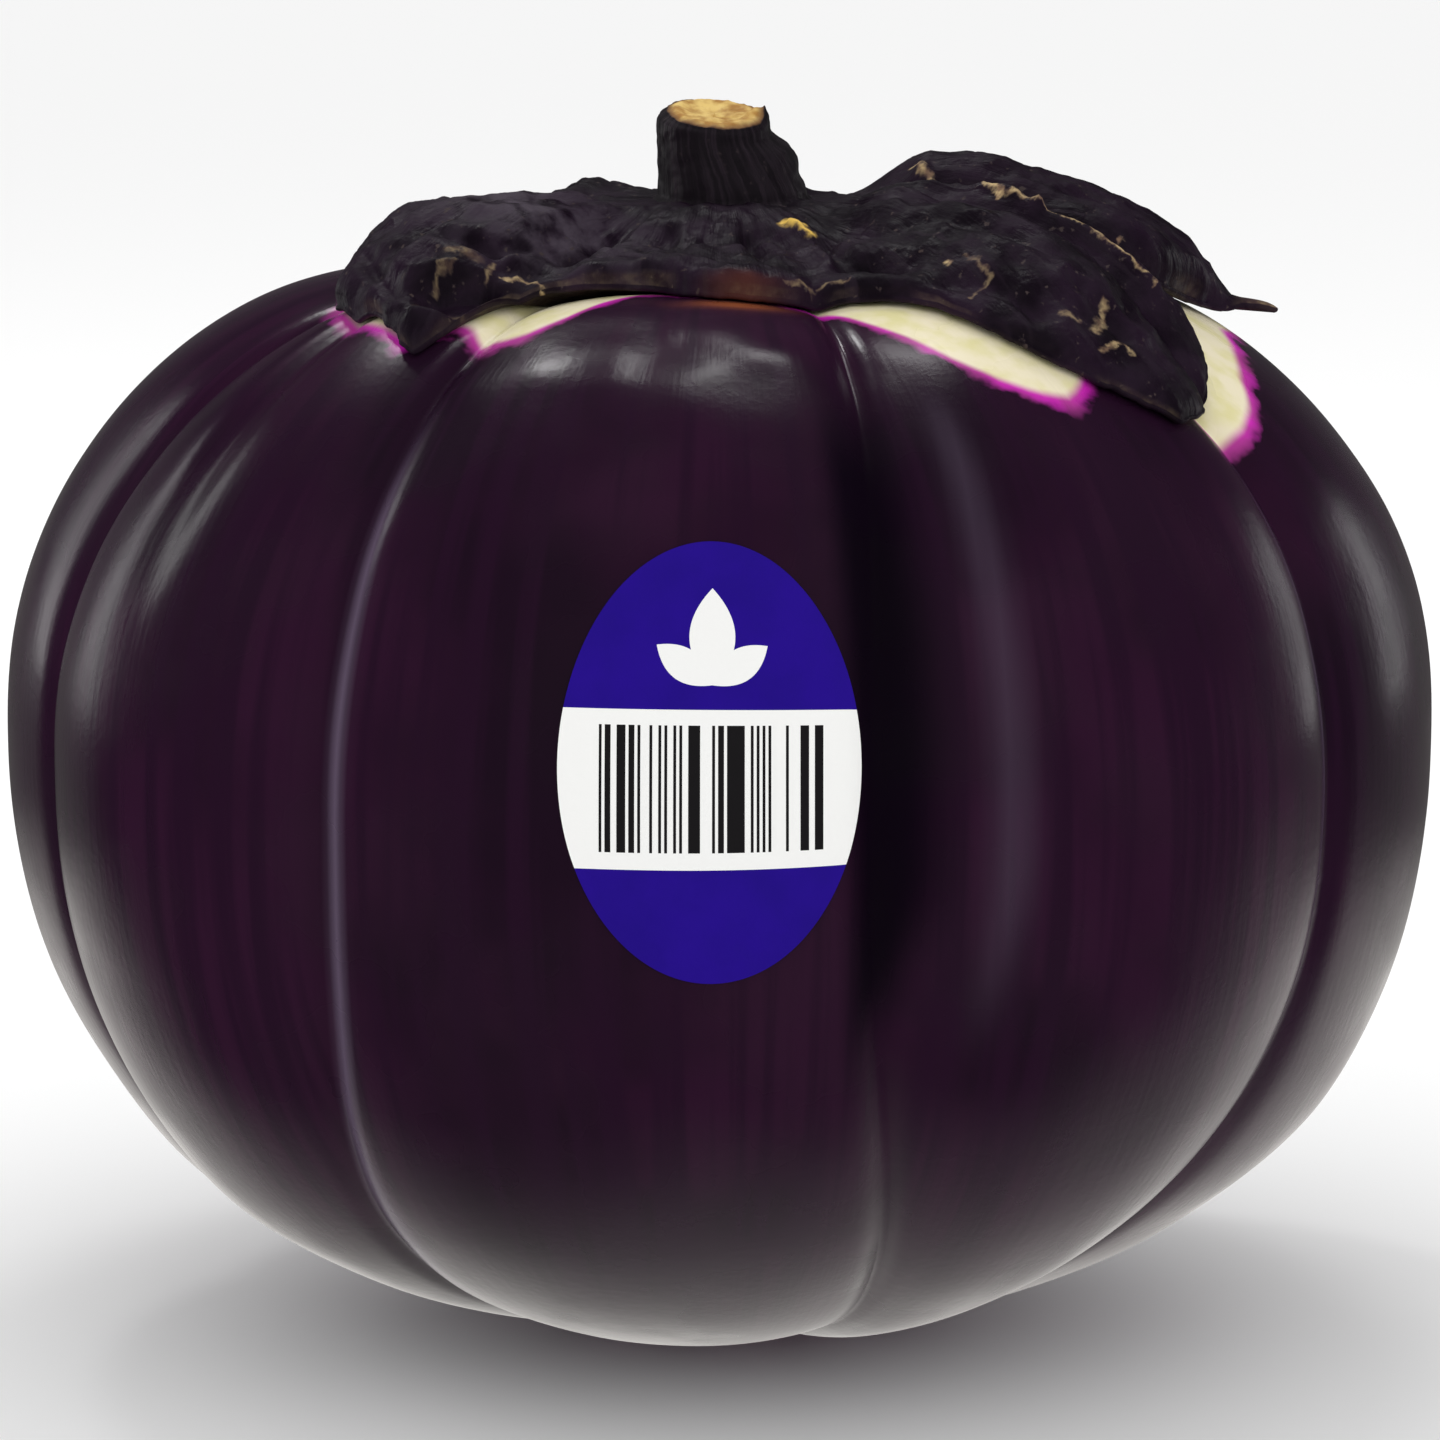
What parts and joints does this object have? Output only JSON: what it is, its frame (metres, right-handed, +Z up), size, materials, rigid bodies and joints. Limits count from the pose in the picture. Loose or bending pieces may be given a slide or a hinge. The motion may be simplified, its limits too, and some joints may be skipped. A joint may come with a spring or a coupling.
{
  "type": "eggplant",
  "caption": "Round ribbed eggplant standing on its blossom end, with a shrivelled calyx, a cut stem stub and a plain oval sticker on its front rib.",
  "frame": {"origin": "on the surface that the eggplant stands on, under the middle of its outline and its stem", "axes": "+Z up through the stem, -Y towards the front, where the sticker is, +X to the right of the front"},
  "size_m": [0.1497, 0.1472, 0.1278],
  "materials": {
    "skin": "waxy satin-gloss aubergine skin, cream and magenta where the calyx shaded it",
    "calyx": "dry wrinkled sepals with tan torn edges",
    "stem": "dry ribbed bark with a tan cut face",
    "sticker": "smooth printed paper, violet-blue with a white band"
  },
  "bodies": {
    "root": {"fruit": "skin", "calyx": "calyx", "stem": "stem", "sticker": "sticker"}
  },
  "joints": []
}
